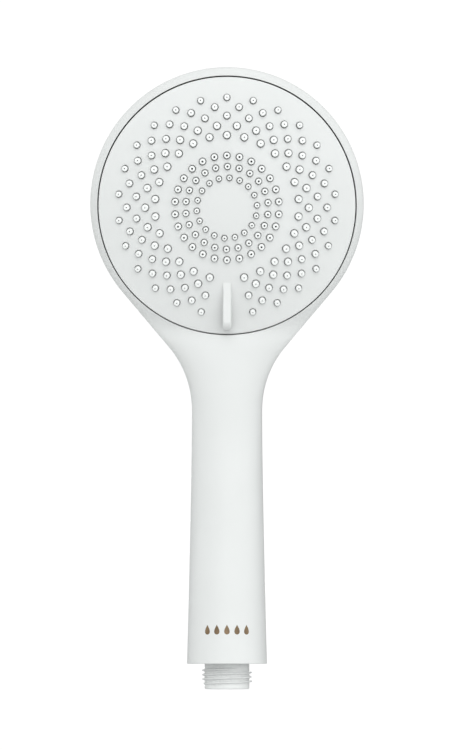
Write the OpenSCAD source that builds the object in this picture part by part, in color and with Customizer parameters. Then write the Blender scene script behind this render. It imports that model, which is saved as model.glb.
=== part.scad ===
// Handheld shower head with a turning three-way spray face.
// Z runs up the handle and z = 0 is the end of the hose nipple. The spray face looks towards -Y.
// Head pieces are drawn in a head frame: +Z leaves the spray face, +Y points up the face,
// and its origin is the centre of the head's widest plane.

/* [Head] */
// Radius of the head at its widest plane
head_r = 56.8; // [56.6:0.1:57.2]
// Depth of the head behind its widest plane
head_depth = 28; // [27.6:0.1:29]
// Angle between the spray face and the handle
face_tilt = 18.4; // [17.8:0.1:19]
// Wall thickness of the shell
wall = 2.6; // [2.4:0.1:2.7]

/* [Handle] */
// Half width of the handle at its neck
neck_w = 14.84; // [14.7:0.02:15.1]
// Extra half width at the handle's lower end
grip_swell = 1.83; // [1.4:0.01:1.9]
// Radius of the curve between the neck and the flare
flare_r = 41.5; // [40:0.5:43]
// Angle of the flare against the handle's axis
flare_angle = 39.6; // [39.2:0.1:40]

/* [Spray face] */
// Radius of the curved spray face
dome_r = 250; // [245:1:260]
// Radius of the face plate
plate_r = 53.2; // [53:0.05:53.3]
// Thickness of the face plate
plate_t = 2.4; // [2.2:0.1:2.5]
// How far the nozzles stand out of the face plate
nozzle_out = 1.1; // [0.9:0.1:1.3]
// Width of the selector fin
fin_w = 3.3; // [2.9:0.1:3.5]
// Height of the selector fin's outer end above the face
fin_h = 4.7; // [4.2:0.1:5]
// Turn from the middle spray to each end spray
mode_angle = 30; // [28:1:30]

/* [Hose end] */
// Crest radius of the G1/2 thread
thread_r = 10.4775; // [10.45:0.0025:10.4775]
// Height of one turn of the G1/2 thread
thread_pitch = 1.814; // [1.8:0.002:1.82]
// Length of the nipple below the handle
nipple_len = 10.4; // [10.3:0.1:11]

/* [Hidden] */
$fn = 72;
eps = 0.02;
run_gap = 0.06;
sweep_n = 56;
core_n = 40;

// head placement
head_y = -31.415;
head_z = nipple_len + 188.015;
lip_rise = 9;
rim_rise = 0.3;
back_power = 2.5;
gap_w = 0.5;

// stations along the shell
s_low = nipple_len;
s_bend = nipple_len + 69.3;
s_head = nipple_len + 131.3;
s_mid = nipple_len + 191.3;
s_rim = s_mid + rim_rise;
neck_end = s_rim - head_r*sin(flare_angle)
    - (head_r*cos(flare_angle) - neck_w - flare_r*(1 - cos(flare_angle)))/tan(flare_angle)
    - flare_r*sin(flare_angle);

// layers of the spray face, as heights in the head frame
dome_z = 8.9;
dome_c = dome_z - dome_r;
mat_t = 1.4;
skirt_r = 51;
skirt_z = -4;
rotor_r = 50.8;
rotor_back_r = 48.9;
rotor_step_z = -5;
rotor_z = -7.5;
chamber_z = -4.5;
chamber_in = 9.5;
chamber_split = 26;
split_w = 2;
chamber_out = 48.3;
hub_top = -1.3;
base_r = 49.5;
base_z = -7.8;
base_t = 3;
post_r = 5;
post_top = -1.2;
washer_t = 0.8;

// water way
port_r = 4.2;
port_y = -26;
channel_z = -17.2;
channel_r = 7;
tube_r = 6;
tube_bore = 4.4;
tube_low = nipple_len + 9.3;
tube_top = nipple_len + 140.8;
socket_r = 6.05;
ring_r = 0.5;
seal_in = 6;
seal_out = 7.6;
boss_at = 40;
boss_r = 4;
screw_r = 1.25;
stop_at = 36;
stop_r = 1.6;
detent_at = 49.3;
detent_r = 1.5;

// nipple
core_r = 9.3155;
floor_z = nipple_len + 3;
wall_hole = 10.6;
mouth_r = 7;
mouth_top = nipple_len - 1.1;
thread_low = 2.32;
thread_turns = 3.3;
steps_per_turn = 24;

// nozzle rings: radius, count, first angle, nozzle radius
rings = [
    [12.43, 18, 4.76, 0.95], [17, 22, 0.74, 1.1], [21.47, 26, 0, 1.19],
    [29.7, 26, 0, 1.3], [33.7, 26, 180/26, 1.3], [37.57, 26, 0, 1.19],
    [41.32, 26, 180/26, 1.19], [44.9, 26, 0, 1.1]
];
inner_rings = [0, 1, 2];
outer_rings = [3, 4, 5, 6, 7];
fin_clear = 7.5;
fin_start = 30;
fin_end = 51.3;
inner_jet_r = 0.4;
outer_jet_r = 0.29;
hole_gap = 0.28;
hole_edge = 0.22;

white = [0.93, 0.94, 0.93];
silicone = [0.90, 0.91, 0.90];
inner_white = [0.82, 0.84, 0.84];
rubber = [0.12, 0.12, 0.13];
steel = [0.75, 0.76, 0.78];
grey = [0.55, 0.57, 0.6];

// ---- shell shape ----

function ease(a, b, t) = let (u = min(1, max(0, (t - a)/(b - a)))) u*u*(3 - 2*u);

function soft_min(a, b, k) = let (m = min(a, b)) m - k*ln(exp((m - a)/k) + exp((m - b)/k));

// half width of the shell at station s, d inside its outer surface
function half_w(s, d) =
    let (r = head_r - d, f = flare_r + d, w = neck_w - d)
    s > s_rim - r*sin(flare_angle) ? sqrt(max(0, r*r - pow(s - s_rim, 2)))
    : s > neck_end + f*sin(flare_angle)
        ? r*cos(flare_angle) - (s_rim - r*sin(flare_angle) - s)*tan(flare_angle)
    : s > neck_end ? w + f - sqrt(f*f - pow(s - neck_end, 2))
    : w + grip_swell*pow((neck_end - s)/(neck_end - s_low), 1.4);

// centre of the section at station s, as [y, z]
function head_point(u, z) = [
    head_y - u*sin(face_tilt) - z*cos(face_tilt),
    head_z + u*cos(face_tilt) - z*sin(face_tilt)
];
function spine(s) =
    s < s_bend ? [0, s]
    : s > s_head ? head_point(s - s_mid, 0)
    : let (
        u = (s - s_bend)/(s_head - s_bend), len = s_head - s_bend,
        a = [0, s_bend], b = head_point(s_head - s_mid, 0),
        ta = [0, len], tb = [-len*sin(face_tilt), len*cos(face_tilt)]
    )
    (2*u*u*u - 3*u*u + 1)*a + (u*u*u - 2*u*u + u)*ta
        + (3*u*u - 2*u*u*u)*b + (u*u*u - u*u)*tb;

function tilt_at(s) = face_tilt*ease(s_bend, s_head, s);

// reach of the section ahead of and behind its centre
function cap(u, r, power) = pow(max(0, 1 - pow(min(1, abs(u)/r), power)), 1/power);
function front_reach(s, d) =
    let (
        low = (spine(s)[0] + half_w(min(s, neck_end), 0) + 2.9*ease(100, 150, s))
            /cos(tilt_at(s)) - d,
        head = (lip_rise - 0.8*d)*cap(s - s_rim, head_r - d, 2),
        b = ease(145, 160, s)
    )
    (1 - b)*low + b*head;
function back_reach(s, d) = soft_min(
    (half_w(min(s, neck_end), 0) - spine(s)[0])/cos(tilt_at(s)) - d,
    (head_depth - d)*(s > s_rim ? cap(s - s_rim, head_r - d, back_power) : 1),
    1.2
);

function rounded(v, power) = sign(v)*pow(abs(v), 2/power);
function section(s, d, trim, n) =
    let (
        c = spine(s), t = tilt_at(s), w = half_w(s, d) - trim,
        f = front_reach(s, d) - trim, r = back_reach(s, d) - trim,
        power = 2 + (back_power - 2)*ease(140, 190, s)
    )
    [for (k = [0:n - 1])
        let (
            a = 360*k/n, back = sin(a) > 0, p = back ? power : 2,
            across = w*rounded(cos(a), p), deep = (back ? r : f)*rounded(sin(a), p)
        )
        [across, c[0] + deep*cos(t), c[1] + deep*sin(t)]
    ];

// closed skin through the sections, each [station, trim], ending in a point
module skin(stations, d, n, tip) {
    rows = len(stations);
    points = concat(
        [for (q = stations) each section(q[0], d, q[1], n)],
        [[0, tip[0], tip[1]]]
    );
    sides = [for (i = [0:rows - 2], k = [0:n - 1])
        let (m = (k + 1)%n, a = i*n + k, b = i*n + m, e = a + n, f = b + n)
        each [[a, e, b], [b, e, f]]
    ];
    lid = [for (k = [0:n - 1]) [(rows - 1)*n + k, rows*n, (rows - 1)*n + (k + 1)%n]];
    floor = [[for (k = [0:n - 1]) k]];
    polyhedron(points, concat(floor, sides, lid));
}

module outer_skin() {
    stations = concat(
        [[s_low, 0.6], [s_low + 0.2, 0.2], [s_low + 0.6, 0]],
        [for (k = [1:9]) [s_low + 0.6 + k*(s_bend - s_low - 0.6)/9, 0]],
        [for (k = [1:26]) [s_bend + k*(s_rim - 0.7*head_r - s_bend)/26, 0]],
        [for (a = [-40:5:85]) [s_rim + head_r*sin(a), 0]],
        [[s_rim + head_r*sin(88), 0]]
    );
    skin(stations, 0, sweep_n, head_point(rim_rise + head_r, 0));
}

module inner_skin() {
    r = head_r - wall;
    stations = concat(
        [for (k = [0:8]) [floor_z + k*(s_bend - floor_z)/8, 0]],
        [for (k = [1:18]) [s_bend + k*(s_rim - 0.7*head_r - s_bend)/18, 0]],
        [for (a = [-40:7:79]) [s_rim + r*sin(a), 0]],
        [[s_rim + r*sin(86), 0]]
    );
    skin(stations, wall, core_n, head_point(rim_rise + r, 0));
}

// ---- shared shapes ----

module in_head() {
    translate([0, head_y, head_z]) rotate([90 + face_tilt, 0, 0]) children();
}

module ring(r, wire) {
    rotate_extrude() translate([r, 0]) circle(r = wire);
}

module tube(r_out, r_in, h) {
    difference() {
        cylinder(r = r_out, h = h);
        translate([0, 0, -1]) cylinder(r = r_in, h = h + 2);
    }
}

// half section between two spheres that share the dome's centre
module dome_band(r_from, r_to, inner, outer) {
    intersection() {
        difference() {
            translate([0, dome_c]) circle(r = outer, $fn = 720);
            translate([0, dome_c]) circle(r = inner, $fn = 720);
        }
        translate([r_from, -10]) square([r_to - r_from, 30]);
    }
}

// puts children on the nozzle axes of the named rings, origin on the dome's centre
module on_nozzles(which) {
    for (q = which, k = [0:rings[q][1] - 1]) {
        a = rings[q][2] + k*360/rings[q][1];
        $nozzle_r = rings[q][3];
        if (q < 3 || abs(a - 180) > fin_clear)
            translate([0, 0, dome_c]) rotate([0, 0, -a]) rotate([-asin(rings[q][0]/dome_r), 0, 0])
                children();
    }
}

module nozzle_body() {
    top = dome_r + nozzle_out;
    round_r = 0.25;
    rotate_extrude($fn = 24) {
        translate([0, dome_r - plate_t - 0.4])
            square([$nozzle_r, plate_t + nozzle_out + 0.4 - round_r]);
        translate([0, top - round_r - 0.01]) square([$nozzle_r - round_r, round_r + 0.01]);
        translate([$nozzle_r - round_r, top - round_r]) circle(r = round_r, $fn = 24);
    }
}

module nozzle_mat(which, r_from, r_to, jet_r) {
    outer = dome_r - plate_t - eps;
    difference() {
        union() {
            rotate_extrude() dome_band(r_from, r_to, outer - mat_t, outer);
            on_nozzles(which) nozzle_body();
        }
        on_nozzles(which) translate([0, 0, outer - mat_t - 1])
            cylinder(r = jet_r, h = mat_t + plate_t + nozzle_out + 2, $fn = 16);
    }
}

// ---- fixed pieces ----

function boss_end(side) = side < 0 ? 21.3 : 20.4;

module handle_shell() {
    color(white)
    difference() {
        union() {
            difference() {
                outer_skin();
                inner_skin();
            }
            for (x = [-1, 1], y = [-1, 1]) in_head()
                translate([x*boss_at*cos(45), y*boss_at*sin(45), -boss_end(y)])
                    cylinder(r = boss_r, h = boss_end(y) + base_z - base_t - eps);
        }
        translate([0, 0, nipple_len - 1]) cylinder(r = wall_hole, h = 6);
        in_head() translate([0, 0, -3]) cylinder(r = plate_r + gap_w, h = 30, $fn = 180);
        for (x = [-1, 1], y = [-1, 1]) in_head()
            translate([x*boss_at*cos(45), y*boss_at*sin(45), 1.8 - boss_end(y)])
                cylinder(r = screw_r + 0.03, h = 12);
    }
}

module thread_ridge() {
    da = 360/steps_per_turn;
    count = round(thread_turns*steps_per_turn);
    for (k = [0:count]) {
        fade = min(1, min(k + 1, count - k + 1)/4);
        crest = core_r + (thread_r - core_r)*fade;
        foot = 0.2 + 0.42*fade;
        rotate([0, 0, 180 + (k - 0.5)*da]) translate([0, 0, thread_low + k*thread_pitch/steps_per_turn])
            rotate_extrude(angle = da + 0.6)
                polygon([
                    [core_r - 0.4, -foot], [core_r - 0.02, -foot], [crest, -0.14],
                    [crest, 0.14], [core_r - 0.02, foot], [core_r - 0.4, foot]
                ]);
    }
}

module hose_connector() {
    color(white)
    difference() {
        union() {
            translate([0, 0, 0.6]) cylinder(r = core_r, h = nipple_len - 0.4);
            cylinder(r1 = core_r - 0.6, r2 = core_r, h = 0.6 + eps);
            thread_ridge();
            translate([0, 0, nipple_len + 0.2]) cylinder(r = wall_hole - 0.1, h = 3);
            translate([0, 0, floor_z + eps]) cylinder(r = 12.2, h = 2.8);
            translate([0, 0, floor_z + 2]) cylinder(r = 8, h = 14);
        }
        translate([0, 0, -1]) cylinder(r = mouth_r, h = mouth_top + 1);
        translate([0, 0, -1]) cylinder(r = 5.6, h = nipple_len + 6.3);
        cylinder(r = tube_bore, h = 40);
        translate([0, 0, tube_low - 0.5]) cylinder(r = socket_r, h = 20);
        translate([0, 0, nipple_len + 0.85]) tube(12, 9.4, 1.3);
    }
}

module connector_ring() {
    color(rubber) translate([0, 0, nipple_len + 1.5]) ring(9.98, 0.55);
}

module inlet_filter() {
    color(steel) translate([0, 0, 0.9]) {
        tube(mouth_r - 0.04, 5.6, 1.8);
        intersection() {
            translate([0, 0, 0.5]) cylinder(r = 5.9, h = 0.6);
            union() {
                for (k = [-3:3]) {
                    translate([k*1.5 - 0.25, -7, 0]) cube([0.5, 14, 2]);
                    translate([-7, k*1.5 - 0.25, 0]) cube([14, 0.5, 2]);
                }
            }
        }
    }
}

module flow_limiter() {
    color(grey) translate([0, 0, 5])
    difference() {
        union() {
            cylinder(r = mouth_r - 0.05, h = 3);
            translate([0, 0, -1.2]) cylinder(r = 1.8, h = 1.4);
        }
        for (a = [0:45:315]) rotate([0, 0, a]) translate([4.2, 0, -1]) cylinder(r = 0.8, h = 6);
        translate([0, 0, 2.2]) tube(8, 5.6, 2);
    }
}

module limiter_ring() {
    color(rubber) translate([0, 0, 8.4]) ring(6.25, 0.6);
}

module water_tube() {
    color(inner_white)
    difference() {
        translate([0, 0, tube_low]) cylinder(r = tube_r, h = tube_top - tube_low);
        translate([0, 0, tube_low - 1]) cylinder(r = tube_bore, h = tube_top - tube_low + 2);
        for (z = [tube_low + 3.4, tube_top - 4.6]) translate([0, 0, z]) tube(8, 5, 1.2);
    }
}

module lower_tube_ring() {
    color(rubber) translate([0, 0, tube_low + 4]) ring(5.52, ring_r);
}

module upper_tube_ring() {
    color(rubber) translate([0, 0, tube_top - 4]) ring(5.52, ring_r);
}

module diverter_base() {
    joint_u = (head_y - channel_z*cos(face_tilt))/sin(face_tilt);
    joint_z = head_point(joint_u, channel_z)[1];
    color(inner_white)
    difference() {
        union() {
            in_head() {
                translate([0, 0, base_z - base_t]) cylinder(r = base_r, h = base_t);
                translate([0, 0, base_z - base_t]) cylinder(r = post_r, h = post_top - base_z + base_t);
                translate([0, port_y, channel_z]) cylinder(r = 8.8, h = base_z - base_t - channel_z + 1);
                translate([0, joint_u, channel_z]) rotate([-90, 0, 0])
                    cylinder(r = channel_r, h = port_y - joint_u + 7);
                for (a = [-16, 16]) rotate([0, 0, a]) translate([-1.5, detent_at, base_z - base_t])
                    cube([3, 1.6, 5.4]);
            }
            translate([0, 0, tube_top - 12.5]) cylinder(r = 8.2, h = 15);
            translate([0, 0, tube_top]) cylinder(r = 7.3, h = joint_z - tube_top);
            translate([0, 0, joint_z]) sphere(r = 7.6);
        }
        in_head() {
            translate([0, port_y, channel_z]) cylinder(r = port_r + 0.4, h = 20);
            translate([0, joint_u, channel_z]) rotate([-90, 0, 0])
                cylinder(r = port_r - 0.2, h = port_y - joint_u + 2);
            translate([0, port_y, base_z - 1.8]) cylinder(r = seal_out + 0.1, h = 4);
            translate([0, 0, -10.3]) cylinder(r = 1.5, h = 12);
            translate([0, 0, -4.65]) tube(7, 4, 1.2);
            rotate([0, 0, 90 - mode_angle - 3]) rotate_extrude(angle = 2*mode_angle + 6)
                translate([stop_at - stop_r - 0.3, base_z - base_t - 1])
                    square([2*stop_r + 0.6, base_t + 2]);
            for (a = [45:90:315]) rotate([0, 0, a]) translate([boss_at, 0, 0]) {
                translate([0, 0, -12]) cylinder(r = screw_r + 0.2, h = 6);
                translate([0, 0, base_z - 2]) cylinder(r = 3, h = 4);
            }
            for (a = [-16, 16]) rotate([0, 0, a]) translate([-2, detent_at + 0.45, -7.3])
                cube([4, 0.7, 4]);
        }
        translate([0, 0, tube_top + 0.5]) cylinder(r = port_r, h = joint_z - tube_top - 0.5);
        translate([0, 0, joint_z]) sphere(r = port_r + 0.3);
        translate([0, 0, tube_top - 14]) cylinder(r = socket_r, h = 14.5);
    }
}

module base_screws() {
    color(steel) in_head()
    for (a = [45:90:315]) rotate([0, 0, a]) translate([boss_at, 0, 0])
    difference() {
        union() {
            translate([0, 0, base_z - 2 + eps]) cylinder(r = 2.8, h = 1.7);
            translate([0, 0, -18]) cylinder(r = screw_r, h = 9);
        }
        translate([0, 0, base_z - 1.2]) cylinder(r = 1.1, h = 2, $fn = 6);
    }
}

module port_seal() {
    color(rubber) in_head() translate([0, port_y, base_z - 1.8 + eps])
        tube(seal_out, seal_in, 1.8 + rotor_z - base_z - 0.08);
}

module hub_ring() {
    color(rubber) in_head() translate([0, 0, -4.05]) ring(4.52, 0.5);
}

module centre_washer() {
    color(steel) in_head() translate([0, 0, post_top + eps]) tube(7.4, 1.8, washer_t);
}

module centre_screw() {
    top = post_top + washer_t + 2*eps;
    color(steel) in_head()
    difference() {
        union() {
            translate([0, 0, top]) cylinder(r = 3.6, h = 2.2);
            translate([0, 0, -10]) cylinder(r = 1.45, h = top + 10.1);
        }
        translate([0, 0, top + 0.8]) cylinder(r = 1.7, h = 2, $fn = 6);
    }
}

module detent_spring() {
    color(steel) in_head() {
        difference() {
            rotate([0, 0, 90 - 17.5]) translate([0, 0, -7.2]) rotate_extrude(angle = 35)
                translate([detent_at + 0.55, 0]) square([0.4, 2]);
        }
        difference() {
            translate([0, detent_at, -7.2]) cylinder(r = detent_r, h = 2, $fn = 36);
            translate([-3, detent_at + 0.8, -8]) cube([6, 3, 4]);
        }
    }
}

// ---- turning pieces ----

module chamber_plate() {
    top = dome_r - plate_t - mat_t - 2*eps;
    color(inner_white) in_head()
    difference() {
        union() {
            rotate_extrude() difference() {
                intersection() {
                    translate([0, dome_c]) circle(r = top, $fn = 720);
                    union() {
                        translate([post_r + run_gap, rotor_step_z]) square([rotor_r - post_r - run_gap, 20]);
                        translate([post_r + run_gap, rotor_z])
                            square([rotor_back_r - post_r - run_gap, 20]);
                    }
                }
                translate([chamber_in, chamber_z]) square([chamber_split - split_w/2 - chamber_in, 20]);
                translate([chamber_split + split_w/2, chamber_z])
                    square([chamber_out - chamber_split - split_w/2, 20]);
                translate([0, hub_top]) square([8, 20]);
                translate([rotor_r - 0.7, -3.1]) square([2, 1.2]);
                translate([rotor_r - 1, -1.6]) square([2, 1.1]);
            }
            translate([0, stop_at, base_z - 1.7]) cylinder(r = stop_r, h = 3);
        }
        for (p = [[0, 22.2], [0, 29.8], [-mode_angle, 22.2], [mode_angle, 29.8]])
            rotate([0, 0, p[0]]) translate([0, -p[1], -12]) cylinder(r = 2.2, h = 12);
        for (a = [-mode_angle, 0, mode_angle]) rotate([0, 0, a])
            translate([0, detent_at, -8]) cylinder(r = detent_r + 0.3, h = 3.4, $fn = 36);
    }
}

module rim_seal() {
    color(rubber) in_head() translate([0, 0, -1.05]) ring(50.38, 0.5);
}

module inner_nozzle_mat() {
    color(silicone) in_head() nozzle_mat(inner_rings, 0, 25.9, inner_jet_r);
}

module outer_nozzle_mat() {
    color(silicone) in_head() nozzle_mat(outer_rings, 26.1, 49.6, outer_jet_r);
}

// side outline of the fin: x runs outwards from the face's centre, y out of the face
module fin_side() {
    nose = 4.2;
    nose_x = fin_end - nose;
    foot_z = dome_z - pow(nose_x, 2)/(2*dome_r);
    difference() {
        union() {
            polygon([
                [fin_start, 2], [fin_start, dome_z - pow(fin_start, 2)/(2*dome_r) - 0.05],
                [nose_x, foot_z + fin_h - 0.06], [nose_x, foot_z], [fin_end - 0.05, foot_z],
                [fin_end - 0.05, 2]
            ]);
            translate([nose_x, foot_z + fin_h - nose]) circle(r = nose, $fn = 72);
        }
        translate([0, dome_c]) circle(r = dome_r - plate_t/2, $fn = 720);
    }
}

module fin() {
    intersection() {
        rotate([90, 0, -90]) linear_extrude(2*fin_w, center = true) fin_side();
        union() {
            translate([0, fin_w/2 - fin_end, 0]) cylinder(r = fin_w/2, h = 20, $fn = 36);
            translate([-fin_w/2, fin_w/2 - fin_end, 0]) cube([fin_w, 30, 20]);
        }
    }
}

// hole for one nozzle, widened at the face
module nozzle_hole() {
    r = $nozzle_r + hole_gap;
    rotate_extrude($fn = 24) polygon([
        [0, dome_r - plate_t - 2], [r, dome_r - plate_t - 2], [r, dome_r - hole_edge],
        [r + 3*hole_edge, dome_r + 2*hole_edge], [r + 3*hole_edge, dome_r + 6], [0, dome_r + 6]
    ]);
}

module face_plate() {
    inner = dome_r - plate_t;
    color(white) in_head()
    difference() {
        union() {
            rotate_extrude() {
                dome_band(0, plate_r, inner, dome_r);
                translate([skirt_r, skirt_z]) square([plate_r - skirt_r, 6]);
                translate([skirt_r - 0.6, -3]) square([1, 1]);
            }
            fin();
        }
        on_nozzles(concat(inner_rings, outer_rings)) nozzle_hole();
    }
}

handle_shell();
hose_connector();
connector_ring();
inlet_filter();
flow_limiter();
limiter_ring();
water_tube();
lower_tube_ring();
upper_tube_ring();
diverter_base();
base_screws();
port_seal();
hub_ring();
centre_washer();
centre_screw();
detent_spring();
chamber_plate();
rim_seal();
inner_nozzle_mat();
outer_nozzle_mat();
face_plate();
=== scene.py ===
import math

import bmesh
import bpy
import numpy as np
from mathutils import Matrix, Vector
from mathutils.bvhtree import BVHTree


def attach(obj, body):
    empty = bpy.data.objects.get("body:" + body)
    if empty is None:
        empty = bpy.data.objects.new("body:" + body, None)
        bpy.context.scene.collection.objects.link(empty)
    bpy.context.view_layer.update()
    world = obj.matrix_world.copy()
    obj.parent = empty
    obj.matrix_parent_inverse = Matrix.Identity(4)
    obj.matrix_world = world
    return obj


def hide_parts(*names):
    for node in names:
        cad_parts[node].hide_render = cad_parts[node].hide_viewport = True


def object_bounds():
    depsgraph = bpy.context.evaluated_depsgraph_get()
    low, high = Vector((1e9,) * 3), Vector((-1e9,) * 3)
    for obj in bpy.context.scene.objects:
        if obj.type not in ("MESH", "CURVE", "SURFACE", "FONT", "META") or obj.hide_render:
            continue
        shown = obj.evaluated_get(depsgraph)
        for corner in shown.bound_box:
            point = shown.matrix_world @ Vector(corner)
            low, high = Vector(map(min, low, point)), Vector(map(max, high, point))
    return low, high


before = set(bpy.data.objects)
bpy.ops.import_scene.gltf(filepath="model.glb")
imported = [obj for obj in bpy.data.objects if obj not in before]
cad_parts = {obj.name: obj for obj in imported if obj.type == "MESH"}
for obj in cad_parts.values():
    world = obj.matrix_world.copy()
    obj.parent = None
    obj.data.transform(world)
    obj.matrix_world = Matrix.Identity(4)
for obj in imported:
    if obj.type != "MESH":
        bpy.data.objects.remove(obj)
cad_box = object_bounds()

MM = 0.001

# ---------------------------------------------------------------- shape of the head and handle, in mm

HEAD_R = 56.8
HEAD_DEPTH = 28.0
FACE_TILT = math.radians(18.4)
WALL = 2.6
NECK_W = 14.84
GRIP_SWELL = 1.83
FLARE_R = 41.5
FLARE_ANGLE = math.radians(39.6)
NIPPLE = 10.4
HEAD_Y = -31.415
HEAD_Z = NIPPLE + 188.015
LIP_RISE = 9.0
RIM_RISE = 0.3
BACK_POWER = 2.5
GRIP_POWER = 1.4
BELLY = 2.9
BACK_BLEND = 1.2
# heights between which the belly grows, the front becomes the lip, and the back gets squarer
BELLY_SPAN = (100, 150)
LIP_SPAN = (145, 160)
SQUARE_SPAN = (140, 190)
# stations along the handle: foot, start and end of the bend, head's middle, rim
S_LOW = NIPPLE
S_BEND = NIPPLE + 69.3
S_HEAD = NIPPLE + 131.3
S_MID = NIPPLE + 191.3
S_RIM = S_MID + RIM_RISE
NECK_END = (
    S_RIM
    - HEAD_R * math.sin(FLARE_ANGLE)
    - (HEAD_R * math.cos(FLARE_ANGLE) - NECK_W - FLARE_R * (1 - math.cos(FLARE_ANGLE)))
    / math.tan(FLARE_ANGLE)
    - FLARE_R * math.sin(FLARE_ANGLE)
)

DOME_R = 250.0
DOME_Z = 8.9
DOME_C = DOME_Z - DOME_R
PLATE_R = 53.2
PLATE_T = 2.4
SKIRT_R = 51.0
SKIRT_LOW = -4
MAT_T = 1.4
NOZZLE_OUT = 1.1
GAP = 0.5
FIN_W = 3.3
FIN_H = 4.7
FIN_END = 51.3
HOLE_GAP = 0.28
HOLE_EDGE = 0.27
# radius, count, first angle, nozzle radius, jet radius
RINGS = [
    (12.43, 18, 4.76, 0.95, 0.34), (17.0, 22, 0.74, 1.10, 0.42), (21.47, 26, 0.0, 1.19, 0.44),
    (29.7, 26, 0.0, 1.30, 0.26), (33.7, 26, 180 / 26, 1.30, 0.26), (37.57, 26, 0.0, 1.19, 0.26),
    (41.32, 26, 180 / 26, 1.19, 0.26), (44.9, 26, 0.0, 1.10, 0.26),
]
FIN_CLEAR = 7.5


def ease(a, b, t):
    u = min(1.0, max(0.0, (t - a) / (b - a)))
    return u * u * (3 - 2 * u)


def soft_min(a, b, k):
    m = min(a, b)
    return m - k * math.log(math.exp((m - a) / k) + math.exp((m - b) / k))


def half_w(s, d):
    r, f, w = HEAD_R - d, FLARE_R + d, NECK_W - d
    if s > S_RIM - r * math.sin(FLARE_ANGLE):
        return math.sqrt(max(0.0, r * r - (s - S_RIM) ** 2))
    if s > NECK_END + f * math.sin(FLARE_ANGLE):
        return r * math.cos(FLARE_ANGLE) - (
            S_RIM - r * math.sin(FLARE_ANGLE) - s
        ) * math.tan(FLARE_ANGLE)
    if s > NECK_END:
        return w + f - math.sqrt(f * f - (s - NECK_END) ** 2)
    return w + GRIP_SWELL * ((NECK_END - s) / (NECK_END - S_LOW)) ** GRIP_POWER


def head_point(u, z):
    return np.array([
        HEAD_Y - u * math.sin(FACE_TILT) - z * math.cos(FACE_TILT),
        HEAD_Z + u * math.cos(FACE_TILT) - z * math.sin(FACE_TILT),
    ])


def spine(s):
    if s < S_BEND:
        return np.array([0.0, s])
    if s > S_HEAD:
        return head_point(s - S_MID, 0)
    length = S_HEAD - S_BEND
    u = (s - S_BEND) / length
    a, b = np.array([0.0, S_BEND]), head_point(S_HEAD - S_MID, 0)
    ta = np.array([0.0, length])
    tb = length * np.array([-math.sin(FACE_TILT), math.cos(FACE_TILT)])
    return (
        (2 * u**3 - 3 * u * u + 1) * a + (u**3 - 2 * u * u + u) * ta
        + (3 * u * u - 2 * u**3) * b + (u**3 - u * u) * tb
    )


def tilt_at(s):
    return FACE_TILT * ease(S_BEND, S_HEAD, s)


def cap(u, r, power):
    return max(0.0, 1 - min(1.0, abs(u) / r) ** power) ** (1 / power)


def front_reach(s, d):
    low = (
        spine(s)[0] + half_w(min(s, NECK_END), 0) + BELLY * ease(*BELLY_SPAN, s)
    ) / math.cos(tilt_at(s)) - d
    head = (LIP_RISE - 0.8 * d) * cap(s - S_RIM, HEAD_R - d, 2)
    b = ease(*LIP_SPAN, s)
    return (1 - b) * low + b * head


def back_reach(s, d):
    low = (half_w(min(s, NECK_END), 0) - spine(s)[0]) / math.cos(tilt_at(s)) - d
    head = HEAD_DEPTH - d
    if s > S_RIM:
        head *= cap(s - S_RIM, HEAD_R - d, BACK_POWER)
    return soft_min(low, head, BACK_BLEND)


def rounded(v, power):
    return np.sign(v) * np.abs(v) ** (2 / power)


def section(s, d, trim, n):
    c, t = spine(s), tilt_at(s)
    w = half_w(s, d) - trim
    f, r = front_reach(s, d) - trim, back_reach(s, d) - trim
    power = 2 + (BACK_POWER - 2) * ease(*SQUARE_SPAN, s)
    a = 2 * np.pi * np.arange(n) / n
    back = np.sin(a) > 0
    across = w * np.where(back, rounded(np.cos(a), power), np.cos(a))
    deep = np.where(back, r * rounded(np.sin(a), power), f * np.sin(a))
    return np.c_[across, c[0] + deep * math.cos(t), c[1] + deep * math.sin(t)]


# ---------------------------------------------------------------- mesh helpers


def make_mesh(name, verts, faces):
    me = bpy.data.meshes.new(name)
    me.from_pydata([tuple(v) for v in np.asarray(verts, float) * MM], [], faces)
    me.validate()
    bm = bmesh.new()
    bm.from_mesh(me)
    bmesh.ops.recalc_face_normals(bm, faces=bm.faces)
    bm.to_mesh(me)
    bm.free()
    return me


def make_object(name, me):
    ob = bpy.data.objects.new(name, me)
    bpy.context.scene.collection.objects.link(ob)
    return ob


def loft(rows, closed_ends=True, tip=None):
    """Quads between equal closed rows; the ends are closed by a polygon or by a fan to the tip."""
    n = len(rows[0])
    verts = np.concatenate(rows)
    faces = []
    for i in range(len(rows) - 1):
        for k in range(n):
            m = (k + 1) % n
            faces.append((i * n + k, i * n + m, (i + 1) * n + m, (i + 1) * n + k))
    if closed_ends:
        faces.append(tuple(range(n - 1, -1, -1)))
        last = (len(rows) - 1) * n
        if tip is None:
            faces.append(tuple(range(last, last + n)))
        else:
            verts = np.vstack([verts, tip])
            faces += [(last + k, last + (k + 1) % n, len(verts) - 1) for k in range(n)]
    return verts, faces


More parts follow.
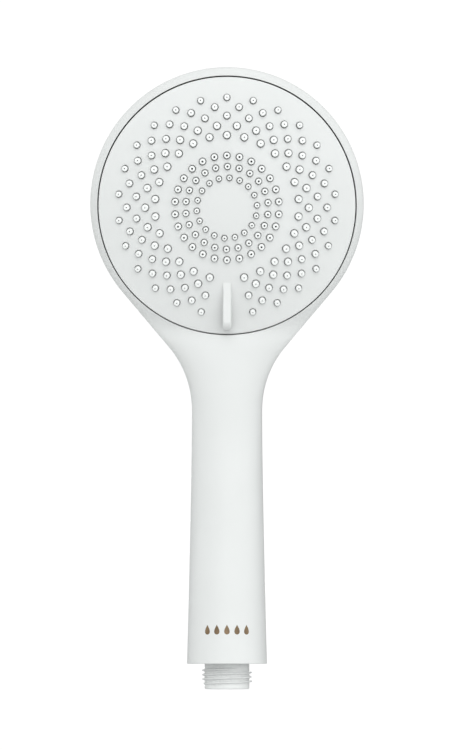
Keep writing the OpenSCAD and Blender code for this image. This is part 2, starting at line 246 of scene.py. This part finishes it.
def revolve(profile, n, place=None):
    """A closed (r, z) profile turned about z. Points on the axis are merged."""
    verts, faces, index = [], [], []
    for r, z in profile:
        if r < 1e-6:
            index.append([len(verts)] * n)
            verts.append((0.0, 0.0, z))
        else:
            index.append(list(range(len(verts), len(verts) + n)))
            for k in range(n):
                a = 2 * math.pi * k / n
                verts.append((r * math.cos(a), r * math.sin(a), z))
    p = len(profile)
    for i in range(p):
        a, b = index[i], index[(i + 1) % p]
        for k in range(n):
            m = (k + 1) % n
            loop = []
            for v in (a[k], a[m], b[m], b[k]):
                if v not in loop:
                    loop.append(v)
            if len(loop) > 2:
                faces.append(tuple(loop))
    verts = np.array(verts)
    if place is not None:
        verts = verts @ np.array(place.to_3x3()).T + np.array(place.translation)
    return verts, faces


def plug(r, low, high):
    """Outline of a plain round block on the axis."""
    return [(0, low), (r, low), (r, high), (0, high)]


def joined(parts):
    verts, faces, base = [], [], 0
    for v, f in parts:
        verts.append(v)
        faces += [tuple(i + base for i in q) for q in f]
        base += len(v)
    return np.concatenate(verts), faces


def boolean(ob, cutter_me, operation):
    cutter = make_object(ob.name + "_cutter", cutter_me)
    mod = ob.modifiers.new("cut", "BOOLEAN")
    mod.operation, mod.object, mod.solver = operation, cutter, "MANIFOLD"
    deps = bpy.context.evaluated_depsgraph_get()
    me = bpy.data.meshes.new_from_object(ob.evaluated_get(deps))
    ob.modifiers.clear()
    old = ob.data
    ob.data = me
    bpy.data.meshes.remove(old)
    bpy.data.objects.remove(cutter)
    bpy.data.meshes.remove(cutter_me)


def shade(ob, angle):
    me = ob.data
    me.shade_smooth()
    me.set_sharp_from_angle(angle=math.radians(angle))


def keep_inside(ob):
    """The CAD mesh is made of flat facets, so a finer surface can bulge 0.01 mm past its box."""
    me = ob.data
    co = np.empty(len(me.vertices) * 3)
    me.vertices.foreach_get("co", co)
    me.vertices.foreach_set("co", np.clip(co.reshape(-1, 3), cad_box[0], cad_box[1]).ravel())
    me.update()


def paint(ob, material):
    """One material on every face: a boolean leaves an empty slot behind."""
    me = ob.data
    me.materials.clear()
    me.materials.append(material)
    me.polygons.foreach_set("material_index", [0] * len(me.polygons))


# from the head's own frame, with z out of the face, to the part's frame
HEAD = (
    Matrix.Translation((0, HEAD_Y, HEAD_Z))
    @ Matrix.Rotation(math.pi / 2 + FACE_TILT, 4, "X")
)


def to_head(me):
    me.transform(Matrix.Scale(MM, 4) @ HEAD @ Matrix.Scale(1 / MM, 4))


def arc(cx, cz, r, a0, a1, n):
    return [
        (cx + r * math.cos(math.radians(a0 + (a1 - a0) * i / n)),
         cz + r * math.sin(math.radians(a0 + (a1 - a0) * i / n)))
        for i in range(n + 1)
    ]


# ---------------------------------------------------------------- materials


def nodes_of(name):
    mat = bpy.data.materials.new(name)
    mat.use_nodes = True
    tree = mat.node_tree
    return mat, tree, tree.nodes["Principled BSDF"]


def noise(tree, coord, scale, detail=3.0, rough=0.5):
    tex = tree.nodes.new("ShaderNodeTexNoise")
    tex.inputs["Scale"].default_value = scale
    tex.inputs["Detail"].default_value = detail
    tex.inputs["Roughness"].default_value = rough
    tree.links.new(coord, tex.inputs["Vector"])
    return tex.outputs["Fac"]


def ramp(tree, fac, low, high):
    node = tree.nodes.new("ShaderNodeValToRGB")
    first, last = node.color_ramp.elements
    first.position, first.color = 0.3, (*low, 1)
    last.position, last.color = 0.7, (*high, 1)
    tree.links.new(fac, node.inputs["Fac"])
    return node.outputs["Color"]


def spread(tree, fac, low, high):
    node = tree.nodes.new("ShaderNodeMapRange")
    node.inputs["To Min"].default_value = low
    node.inputs["To Max"].default_value = high
    tree.links.new(fac, node.inputs["Value"])
    return node.outputs["Result"]


def multiply(tree, colour, fac):
    node = tree.nodes.new("ShaderNodeVectorMath")
    node.operation = "SCALE"
    tree.links.new(colour, node.inputs[0])
    tree.links.new(fac, node.inputs["Scale"])
    return node.outputs["Vector"]


def painted_recess_shade(tree, coord, low, high, least):
    """Painted shade: the colour darkens between two distances in mm from the dome's centre, on the
    nozzles' sides, darkest where they go into their holes.
    """
    centre = HEAD @ Vector((0, 0, DOME_C)) * MM
    gap = tree.nodes.new("ShaderNodeVectorMath")
    gap.operation = "DISTANCE"
    gap.inputs[1].default_value = centre
    tree.links.new(coord, gap.inputs[0])
    node = tree.nodes.new("ShaderNodeMapRange")
    node.interpolation_type = "SMOOTHSTEP"
    node.inputs["From Min"].default_value = low * MM
    node.inputs["From Max"].default_value = high * MM
    node.inputs["To Min"].default_value = least
    tree.links.new(gap.outputs["Value"], node.inputs["Value"])
    return node.outputs["Result"]


def painted_hollow_shade(tree, reach, least):
    """Painted shade: the colour darkens where the surroundings close in, within this reach in mm."""
    node = tree.nodes.new("ShaderNodeAmbientOcclusion")
    node.samples = 12
    node.inputs["Distance"].default_value = reach * MM
    return spread(tree, node.outputs["AO"], least, 1.0)


def worn_edges(tree, radius):
    """1 on a piece's outer edges and 0 elsewhere, from how far the rounded-off normal turns away."""
    soft = tree.nodes.new("ShaderNodeBevel")
    soft.samples = 4
    soft.inputs["Radius"].default_value = radius * MM
    true = tree.nodes.new("ShaderNodeNewGeometry").outputs["Normal"]
    turn = tree.nodes.new("ShaderNodeVectorMath")
    turn.operation = "DOT_PRODUCT"
    tree.links.new(soft.outputs["Normal"], turn.inputs[0])
    tree.links.new(true, turn.inputs[1])
    node = tree.nodes.new("ShaderNodeMapRange")
    node.inputs["From Min"].default_value = 0.99
    node.inputs["From Max"].default_value = 0.80
    tree.links.new(turn.outputs["Value"], node.inputs["Value"])
    return node.outputs["Result"]


def polished(tree, rough, edge, by):
    """Roughness lowered by this much along the edges, where hands and hoses rub."""
    less = tree.nodes.new("ShaderNodeMath")
    less.operation = "MULTIPLY_ADD"
    less.inputs[1].default_value = -by
    tree.links.new(edge, less.inputs[0])
    tree.links.new(rough, less.inputs[2])
    return less.outputs["Value"]


WEAR_RADIUS = 0.25
WEAR_POLISH = 0.12


def plastic(
    name, low, high, rough, grain=2600.0, depth=0.012, blotch=38.0, gloss=0.5, metal=0.0,
    recess=None, hollow=None,
):
    """A slow colour drift, an uneven sheen, polished edges and a grain (scale, and depth in mm), with
    painted shade in recesses and hollows where given.
    """
    mat, tree, bsdf = nodes_of(name)
    coord = tree.nodes.new("ShaderNodeTexCoord").outputs["Object"]
    slow = noise(tree, coord, blotch, 2.0)
    colour = ramp(tree, slow, low, high)
    # painted shade: the colour darkens down the nozzles' sides, towards their holes
    if recess is not None:
        colour = multiply(tree, colour, painted_recess_shade(tree, coord, *recess))
    # painted shade: the colour darkens where the surroundings close in
    if hollow is not None:
        colour = multiply(tree, colour, painted_hollow_shade(tree, *hollow))
    tree.links.new(colour, bsdf.inputs["Base Color"])
    sheen = spread(tree, noise(tree, coord, blotch * 7, 4.0, 0.6), *rough)
    sheen = polished(tree, sheen, worn_edges(tree, WEAR_RADIUS), WEAR_POLISH)
    tree.links.new(sheen, bsdf.inputs["Roughness"])
    fine = noise(tree, coord, grain, 2.0)
    bump = tree.nodes.new("ShaderNodeBump")
    bump.inputs["Strength"].default_value = 0.5
    bump.inputs["Distance"].default_value = depth * MM
    tree.links.new(fine, bump.inputs["Height"])
    tree.links.new(bump.outputs["Normal"], bsdf.inputs["Normal"])
    bsdf.inputs["Specular IOR Level"].default_value = gloss
    bsdf.inputs["Metallic"].default_value = metal
    return mat


SHELL_WHITE = plastic(
    "shell_white", (0.748, 0.751, 0.749), (0.768, 0.771, 0.769), (0.46, 0.56), gloss=0.22,
)
# painted shade where the face closes in: beside the fin and round the nozzles
FACE_WHITE = plastic(
    "face_white", (0.800, 0.803, 0.801), (0.820, 0.823, 0.821), (0.46, 0.56), gloss=0.3,
    hollow=(8.0, 0.52),
)
# painted shade in the thread's grooves
NIPPLE_WHITE = plastic(
    "nipple_white", (0.775, 0.778, 0.776), (0.800, 0.803, 0.801), (0.42, 0.52), gloss=0.3,
    hollow=(2.2, 0.85),
)
# painted shade on the nozzles' sides, darkest where they go into the face
SILICONE = plastic(
    "nozzle_silicone", (0.955, 0.96, 0.955), (0.975, 0.98, 0.975), (0.5, 0.62), grain=4000.0,
    recess=(DOME_R + 0.1, DOME_R + 0.98, 0.85),
)
INNER = plastic("inner_plastic", (0.68, 0.70, 0.69), (0.73, 0.75, 0.74), (0.4, 0.55))
GREY = plastic("grey_plastic", (0.20, 0.22, 0.24), (0.25, 0.27, 0.29), (0.4, 0.55))
RUBBER = plastic(
    "black_rubber", (0.018, 0.018, 0.018), (0.03, 0.03, 0.03), (0.55, 0.75), depth=0.03,
)
STEEL = plastic(
    "stainless_steel", (0.55, 0.56, 0.57), (0.66, 0.67, 0.68), (0.22, 0.38), metal=1.0,
)
BRONZE = plastic(
    "bronze_print", (0.17, 0.115, 0.065), (0.27, 0.18, 0.105), (0.35, 0.5), blotch=300.0,
    metal=0.4,
)

# ---------------------------------------------------------------- camera, light and stage

# name, azimuth from straight in front towards the right, height above the horizon, strength, width
LIGHTS = [
    ("overhead", 0, 45, 0.82, 50),
    ("front", 0, 20, 1.30, 50),
    ("right", 50, 10, 0.79, 50),
    ("right_side", 88, 5, 0.36, 50),
    ("left_side", -88, 5, 1.02, 50),
    ("left_back", -130, 15, 0.30, 50),
    ("behind", 180, 2, 1.40, 16),
]
STUDIO_WHITE = (0.977, 1.0, 0.992)
SKY_GLOW = (0.0, 0.0, 0.4)
BACKDROP = 1.05
CAMERA_AT = (0.00167, -0.81376, 0.01034)  # metres
CAMERA_RISE = 8.52  # degrees above the horizon
LENS = 92.6
FLOOR_R = 2000
FLOOR_T = 4
FLOOR_Z = -0.12  # metres


def make_camera():
    camera = bpy.data.objects.new("camera", bpy.data.cameras.new("camera"))
    bpy.context.scene.collection.objects.link(camera)
    camera.data.sensor_width = 36.0
    camera.data.lens = LENS
    camera.location = CAMERA_AT
    camera.rotation_euler = (math.radians(90 + CAMERA_RISE), 0, 0)
    camera.data.clip_start = 0.01
    bpy.context.scene.camera = camera
    bpy.context.scene.view_settings.view_transform = "Standard"


def make_world():
    """A glow that grows towards the zenith, with a plain white backdrop for the camera."""
    world = bpy.data.worlds.new("studio")
    bpy.context.scene.world = world
    world.use_nodes = True
    tree = world.node_tree
    lit = tree.nodes["Background"]
    lit.inputs["Color"].default_value = (*STUDIO_WHITE, 1)
    direction = tree.nodes.new("ShaderNodeTexCoord")
    above = tree.nodes.new("ShaderNodeVectorMath")
    above.operation = "DOT_PRODUCT"
    above.inputs[1].default_value = SKY_GLOW
    clipped = tree.nodes.new("ShaderNodeMath")
    clipped.operation = "MAXIMUM"
    clipped.inputs[1].default_value = 0.0
    tree.links.new(direction.outputs["Generated"], above.inputs[0])
    tree.links.new(above.outputs["Value"], clipped.inputs[0])
    tree.links.new(clipped.outputs["Value"], lit.inputs["Strength"])
    seen = tree.nodes.new("ShaderNodeBackground")
    seen.inputs["Color"].default_value = (1, 1, 1, 1)
    seen.inputs["Strength"].default_value = BACKDROP
    path = tree.nodes.new("ShaderNodeLightPath")
    mix = tree.nodes.new("ShaderNodeMixShader")
    tree.links.new(path.outputs["Is Camera Ray"], mix.inputs["Fac"])
    tree.links.new(lit.outputs["Background"], mix.inputs[1])
    tree.links.new(seen.outputs["Background"], mix.inputs[2])
    tree.links.new(mix.outputs["Shader"], tree.nodes["World Output"].inputs["Surface"])


def soft_light(name, azimuth, height, energy, width):
    """A broad sheet of light: azimuth counts from straight in front towards the right."""
    data = bpy.data.lights.new(name, "SUN")
    data.angle, data.energy, data.color = math.radians(width), energy, STUDIO_WHITE
    ob = bpy.data.objects.new(name, data)
    bpy.context.scene.collection.objects.link(ob)
    az, up = math.radians(azimuth), math.radians(height)
    towards = Vector((math.sin(az) * math.cos(up), -math.cos(az) * math.cos(up), math.sin(up)))
    ob.rotation_euler = towards.to_track_quat("Z", "Y").to_euler()


make_camera()
make_world()
for light in LIGHTS:
    soft_light(*light)


def floor_material():
    mat, tree, bsdf = nodes_of("studio_floor")
    coord = tree.nodes.new("ShaderNodeTexCoord").outputs["Object"]
    colour = ramp(tree, noise(tree, coord, 3.0), (0.86, 0.87, 0.87), (0.9, 0.905, 0.905))
    tree.links.new(colour, bsdf.inputs["Base Color"])
    bsdf.inputs["Roughness"].default_value = 0.8
    return mat


floor_mesh = make_mesh("studio_floor", *revolve(plug(FLOOR_R, 0, -FLOOR_T), 64))
floor = make_object("studio_floor", floor_mesh)
floor.location = (0, 0, FLOOR_Z)
floor.data.materials.append(floor_material())

# ---------------------------------------------------------------- handle and head shell


FOOT_EDGE = 0.35
FOOT_T = 3
FOOT_HOLE_R = 10.6
LIP_EDGE = 0.35
OPENING_LOW = -3.0
MEET_ANGLE = math.radians(-44)  # where the flare runs into the head's circle


def skin(stations, d, n, tip_r):
    rows = [section(s, d, trim, n) for s, trim in stations]
    y, z = head_point(RIM_RISE + tip_r, 0)
    return loft(rows, tip=(0, y, z))


def stretch(low, high, count):
    """Even stations after the first, which the stretch before it already has."""
    return [(s, 0) for s in np.linspace(low, high, count)[1:]]


def round_stations(r, first, last, step):
    """Stations up the head's circle, at even angles."""
    return [(S_RIM + r * math.sin(math.radians(a)), 0) for a in np.arange(first, last, step)]


def outer_stations():
    turns = np.linspace(0, math.pi / 2, 6)
    out = [(S_LOW + FOOT_EDGE * (1 - math.cos(a)), FOOT_EDGE * (1 - math.sin(a))) for a in turns]
    out += stretch(S_LOW + FOOT_EDGE, S_BEND, 34)
    out += stretch(S_BEND, S_RIM + HEAD_R * math.sin(MEET_ANGLE), 90)
    return out + round_stations(HEAD_R, -42.5, 88.6, 1.5)


def inner_stations():
    r = HEAD_R - WALL
    out = [(s, 0) for s in np.linspace(S_LOW + FOOT_T, S_BEND, 14)]
    out += stretch(S_BEND, S_RIM + r * math.sin(MEET_ANGLE), 40)
    return out + round_stations(r, -40, 86.1, 3)


def lip_heights(verts, faces, n, r):
    """Height of the shell's front, in the head frame, at radius r for n angles."""
    back_to_head = HEAD.inverted()
    local = verts @ np.array(back_to_head.to_3x3()).T + np.array(back_to_head.translation)
    tree = BVHTree.FromPolygons([tuple(v) for v in local], faces)
    out = []
    for k in range(n):
        a = 2 * math.pi * k / n
        hit = tree.ray_cast((r * math.cos(a), r * math.sin(a), 60.0), (0, 0, -1))
        out.append(hit[0].z)
    return out


def opening_cutter(heights, r, low):
    """A round plug that ends in a flare, so the opening's edge comes out rounded."""
    n = len(heights)
    rows = []
    profile = [("flat", 0.0)] + [("arc", a) for a in np.linspace(0, 78, 6)] + [("up", 0.0)]
    for kind, value in profile:
        row = []
        for k in range(n):
            a, h = 2 * math.pi * k / n, heights[k]
            if kind == "flat":
                rr, z = r, low
            elif kind == "arc":
                t = math.radians(value)
                rr = r + LIP_EDGE * (1 - math.cos(t))
                z = h - LIP_EDGE + LIP_EDGE * math.sin(t) + 0.03
            else:
                rr, z = r + LIP_EDGE, h + 8
            row.append((rr * math.cos(a), rr * math.sin(a), z))
        rows.append(np.array(row))
    return loft(rows)


def build_shell():
    verts, faces = skin(outer_stations(), 0, 192, HEAD_R)
    heights = lip_heights(verts, faces, 240, PLATE_R + GAP + 0.15)
    shell = make_object("shell_skin", make_mesh("shell_skin", verts, faces))
    hollow = skin(inner_stations(), WALL, 96, HEAD_R - WALL)
    boolean(shell, make_mesh("hollow", *hollow), "DIFFERENCE")
    opening = make_mesh("opening", *opening_cutter(heights, PLATE_R + GAP, OPENING_LOW))
    to_head(opening)
    boolean(shell, opening, "DIFFERENCE")
    foot_hole = revolve(plug(FOOT_HOLE_R, NIPPLE - 1, NIPPLE + 5), 96)
    boolean(shell, make_mesh("foot_hole", *foot_hole), "DIFFERENCE")
    shade(shell, 32)
    keep_inside(shell)
    paint(shell, SHELL_WHITE)
    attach(shell, "handset")
    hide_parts("handle_shell")


build_shell()

# ---------------------------------------------------------------- face plate with its fin


def dome_at(r, radius=DOME_R):
    return DOME_C + math.sqrt(radius * radius - r * r)


def nozzle_places(which):
    for q in which:
        r, count, first, nozzle, jet = RINGS[q]
        for k in range(count):
            a = first + k * 360 / count
            if q < 3 or abs(a - 180) > FIN_CLEAR:
                yield (
                    Matrix.Translation((0, 0, DOME_C))
                    @ Matrix.Rotation(-math.radians(a), 4, "Z")
                    @ Matrix.Rotation(-math.asin(r / DOME_R), 4, "X")
                ), nozzle, jet


def plate_profile():
    inner = DOME_R - PLATE_T
    edge = 0.3
    top = [(r, dome_at(r)) for r in np.linspace(0, PLATE_R - edge, 44)]
    rim = arc(PLATE_R - edge, dome_at(PLATE_R) - edge, edge, 80, 0, 5)
    under = [(r, dome_at(r, inner)) for r in np.linspace(SKIRT_R, 0, 20)]
    return top + rim + [(PLATE_R, SKIRT_LOW), (SKIRT_R, SKIRT_LOW)] + under


FIN_NOSE = 4.2
FIN_START = 30.9
FIN_ROOT = 28.5  # the sweep starts here, still under the face
FIN_SOFT = 0.5


def fin_top(rho):
    """Height of the fin's crest line at this distance from the face's centre."""
    nose_x = FIN_END - FIN_NOSE
    crest = dome_at(nose_x) + FIN_H
    if rho > nose_x:
        return crest - FIN_NOSE + math.sqrt(max(0.0, FIN_NOSE**2 - (rho - nose_x) ** 2))
    foot = dome_at(FIN_START) - 0.05
    return foot + (crest - foot) * (rho - FIN_START) / (nose_x - FIN_START)


def fin_mesh():
    """Fin swept round its centre line: a concave foot, straight sides and a softly edged crest."""
    half = FIN_W / 2
    stop = FIN_END - half
    along = np.linspace(FIN_ROOT, stop, 45)
    turns = np.linspace(0, math.pi, 19)
    outline = [((0, -y), (1, 0)) for y in along[:-1]]
    outline += [((0, -stop), (math.cos(a), -math.sin(a))) for a in turns]
    outline += [((0, -y), (-1, 0)) for y in along[-2::-1]]
    steps = [("deep", 0)]
    steps += [("foot", a) for a in np.linspace(0, 90, 6)]
    steps += [("edge", a) for a in np.linspace(0, 90, 8)]
    steps += [("crest", k) for k in (0.75, 0.5, 0.25, 0.0)]
    rows = []
    for kind, value in steps:
        row = []
        for (cx, cy), (dx, dy) in outline:
            wall = math.hypot(cx + dx * half, cy + dy * half)
            tall = max(0.03, fin_top(-(cy + dy * half)) - dome_at(wall))
            foot, soft = min(FIN_SOFT, tall * 0.3), min(FIN_SOFT, tall * 0.5)
            t = math.radians(value)
            if kind == "deep":
                out, lift = half + foot, -1.0
            elif kind == "foot":
                out, lift = half + foot * (1 - math.sin(t)), foot * (1 - math.cos(t))
            elif kind == "edge":
                out, lift = half - soft * (1 - math.cos(t)), -soft * (1 - math.sin(t))
            else:
                out, lift = (half - soft) * value, 0.0
            x, y = cx + dx * out, cy + dy * out
            ground = dome_at(math.hypot(x, y))
            if kind in ("edge", "crest"):
                z = max(fin_top(-y), ground - 0.6) + lift
            else:
                z = ground + lift
            row.append((x, y, z))
        rows.append(np.array(row))
    verts, faces = loft(rows, closed_ends=False)
    n = len(outline)
    return verts, faces + [tuple(range(n - 1, -1, -1))]


def welded(me):
    bm = bmesh.new()
    bm.from_mesh(me)
    bmesh.ops.remove_doubles(bm, verts=bm.verts, dist=0.002 * MM)
    bmesh.ops.dissolve_degenerate(bm, edges=bm.edges, dist=0.0005 * MM)
    bmesh.ops.recalc_face_normals(bm, faces=bm.faces)
    bm.to_mesh(me)
    bm.free()
    return me


def hole_profile(r):
    """A plain hole that opens into a countersink just under the face."""
    wide = r + 3 * HOLE_EDGE
    return [
        (0, DOME_R - 6), (r, DOME_R - 6), (r, DOME_R - HOLE_EDGE),
        (wide, DOME_R + 2 * HOLE_EDGE), (wide, DOME_R + 5), (0, DOME_R + 5),
    ]


def build_plate():
    blank = make_mesh("face_plate_shell", *revolve(plate_profile(), 200))
    plate = make_object("face_plate_shell", blank)
    boolean(plate, welded(make_mesh("fin", *fin_mesh())), "UNION")
    holes = [
        revolve(hole_profile(nozzle + HOLE_GAP), 28, place)
        for place, nozzle, jet in nozzle_places(range(len(RINGS)))
    ]
    boolean(plate, make_mesh("holes", *joined(holes)), "DIFFERENCE")
    to_head(plate.data)
    shade(plate, 34)
    keep_inside(plate)
    paint(plate, FACE_WHITE)
    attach(plate, "spray_face")
    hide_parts("face_plate")


build_plate()

# ---------------------------------------------------------------- nozzle mats


NOZZLE_SOFT = 0.2
BORE_DEPTH = 6.5
MAT_SPLIT = (25.9, 26.1)
MAT_R = 49.6


def nozzle_profile(r):
    top = DOME_R + NOZZLE_OUT
    low = DOME_R - PLATE_T - 0.5
    side = [(0, low), (r + 0.04, low), (r, top - NOZZLE_SOFT)]
    return side + arc(r - NOZZLE_SOFT, top - NOZZLE_SOFT, NOZZLE_SOFT, 20, 90, 4) + [(0, top)]


def mat_piece(name, which, r_from, r_to, node):
    """A domed sheet with its rings of nozzles, each with a jet bored through it."""
    outer = DOME_R - PLATE_T - 0.02
    inner = outer - MAT_T
    rs = np.linspace(r_from, r_to, 16)
    sheet = [(r, dome_at(r, outer)) for r in rs] + [(r, dome_at(r, inner)) for r in rs[::-1]]
    ob = make_object(name, make_mesh(name, *revolve(sheet, 128)))
    top = DOME_R + NOZZLE_OUT
    nozzles, bores = [], []
    for place, r, jet in nozzle_places(which):
        nozzles.append(revolve(nozzle_profile(r), 28, place))
        bores.append(revolve(plug(jet, top - BORE_DEPTH, top + 1), 16, place))
    boolean(ob, make_mesh("nozzles", *joined(nozzles)), "UNION")
    boolean(ob, make_mesh("bores", *joined(bores)), "DIFFERENCE")
    to_head(ob.data)
    shade(ob, 40)
    keep_inside(ob)
    paint(ob, SILICONE)
    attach(ob, "spray_face")
    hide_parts(node)


mat_piece("nozzles_inner", (0, 1, 2), 0.0, MAT_SPLIT[0], "inner_nozzle_mat")
mat_piece("nozzles_outer", (3, 4, 5, 6, 7), MAT_SPLIT[1], MAT_R, "outer_nozzle_mat")

# ---------------------------------------------------------------- threaded nipple

CORE_R = 9.3155
THREAD_R = 10.4775  # half the G1/2 crest diameter
PITCH = 1.814
THREAD_LOW = 2.32
THREAD_TURNS = 3.3
THREAD_FADE = math.radians(50)  # turn over which the thread runs out at each end
CREST_HALF = 0.13
FLANK_W = 0.46
MOUTH_EDGE = 0.6
# radius, and height from the handle's foot, from the thread's end up the outside and back down
NIPPLE_OUTLINE = [
    (CORE_R, -0.5), (CORE_R, 0.2),  # neck
    (10.5, 0.2), (10.5, 0.85), (9.4, 0.85), (9.4, 2.15), (10.5, 2.15), (10.5, 3.02),  # ring groove
    (12.2, 3.02), (12.2, 5.8),  # flange
    (8.0, 5.8), (8.0, 19.0), (6.05, 19.0), (6.05, 8.8),  # tube socket
    (4.4, 8.8), (4.4, 5.3),  # water way
    (5.6, 5.3), (5.6, -1.1), (7.0, -1.1),  # seats of the limiter and the strainer
]


def ridge(angle, z):
    """Radius of the threaded wall at this angle and height."""
    turn = (z - THREAD_LOW) / PITCH * 2 * math.pi + math.pi
    t = angle + 2 * math.pi * round((turn - angle) / (2 * math.pi))
    off = abs(z - (THREAD_LOW + PITCH * (t - math.pi) / (2 * math.pi)))
    ends = min(t - math.pi, math.pi + THREAD_TURNS * 2 * math.pi - t)
    fade = min(1.0, max(0.0, ends / THREAD_FADE + 0.3))
    tall = min(1.0, max(0.0, 1 - (off - CREST_HALF) / FLANK_W))
    tall = tall * tall * (3 - 2 * tall) * 0.35 + tall * 0.65
    return CORE_R + (THREAD_R - CORE_R) * fade * tall


def nipple_mesh():
    n = 160
    angles = [2 * math.pi * k / n for k in range(n)]
    rows = []

    def plain(r, z):
        rows.append(np.array([(r * math.cos(a), r * math.sin(a), z) for a in angles]))

    for r, z in arc(CORE_R - MOUTH_EDGE, MOUTH_EDGE, MOUTH_EDGE, -90, 0, 6):
        plain(r, z)
    for z in np.arange(0.7, 9.7, 0.075):
        radii = [ridge(a, z) for a in angles]
        rows.append(np.array([(r * math.cos(a), r * math.sin(a), z) for r, a in zip(radii, angles)]))
    for r, z in NIPPLE_OUTLINE:
        plain(r, NIPPLE + z)
    plain(7.0, 0.35)
    plain(7.35, 0.0)
    verts, faces = loft(rows, closed_ends=False)
    last = (len(rows) - 1) * n
    faces += [(last + k, last + (k + 1) % n, (k + 1) % n, k) for k in range(n)]
    return verts, faces


def build_nipple():
    nipple = make_object("hose_nipple", make_mesh("hose_nipple", *nipple_mesh()))
    shade(nipple, 38)
    paint(nipple, NIPPLE_WHITE)
    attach(nipple, "handset")
    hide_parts("hose_connector")


build_nipple()

# ---------------------------------------------------------------- generic printed drops on the handle


DROP_W = 1.55
DROP_H = 2.0
DROP_Z = 24.3
DROP_STEP = 4.2
# height over the shell and size of the print's three outlines, from its buried back to its face
DROP_LAYERS = [(-0.05, 1.0), (0.02, 1.0), (0.03, 0.97)]


def drop_outline(n):
    pts = []
    for i in range(n):
        a = 2 * math.pi * i / n
        wide = math.sin(a) * math.sin(a / 2) ** 1.3
        pts.append((DROP_W * wide, DROP_H * math.cos(a)))
    return pts


def on_handle(u, z, lift):
    """The point u mm round the handle's wall at height z, lifted off it."""
    w = half_w(z, 0)
    a = u / w
    return ((w + lift) * math.sin(a), -(w + lift) * math.cos(a), z)


def drops_mesh():
    outline = drop_outline(40)
    parts = []
    for k in range(-2, 3):
        x = DROP_STEP * k
        parts.append(loft([
            np.array([on_handle(x + size * u, DROP_Z + size * v, lift) for u, v in outline])
            for lift, size in DROP_LAYERS
        ]))
    return joined(parts)


def build_drops():
    drops = make_object("printed_drops", make_mesh("printed_drops", *drops_mesh()))
    paint(drops, BRONZE)
    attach(drops, "handset")


build_drops()

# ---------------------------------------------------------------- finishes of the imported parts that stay

KEPT = {
    "connector_ring": RUBBER, "limiter_ring": RUBBER, "lower_tube_ring": RUBBER,
    "upper_tube_ring": RUBBER, "port_seal": RUBBER, "hub_ring": RUBBER, "rim_seal": RUBBER,
    "inlet_filter": STEEL, "base_screws": STEEL, "centre_washer": STEEL, "centre_screw": STEEL,
    "detent_spring": STEEL, "flow_limiter": GREY, "water_tube": INNER, "diverter_base": INNER,
    "chamber_plate": INNER,
}
for node, material in KEPT.items():
    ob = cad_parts[node]
    ob.data.materials.clear()
    ob.data.materials.append(material)
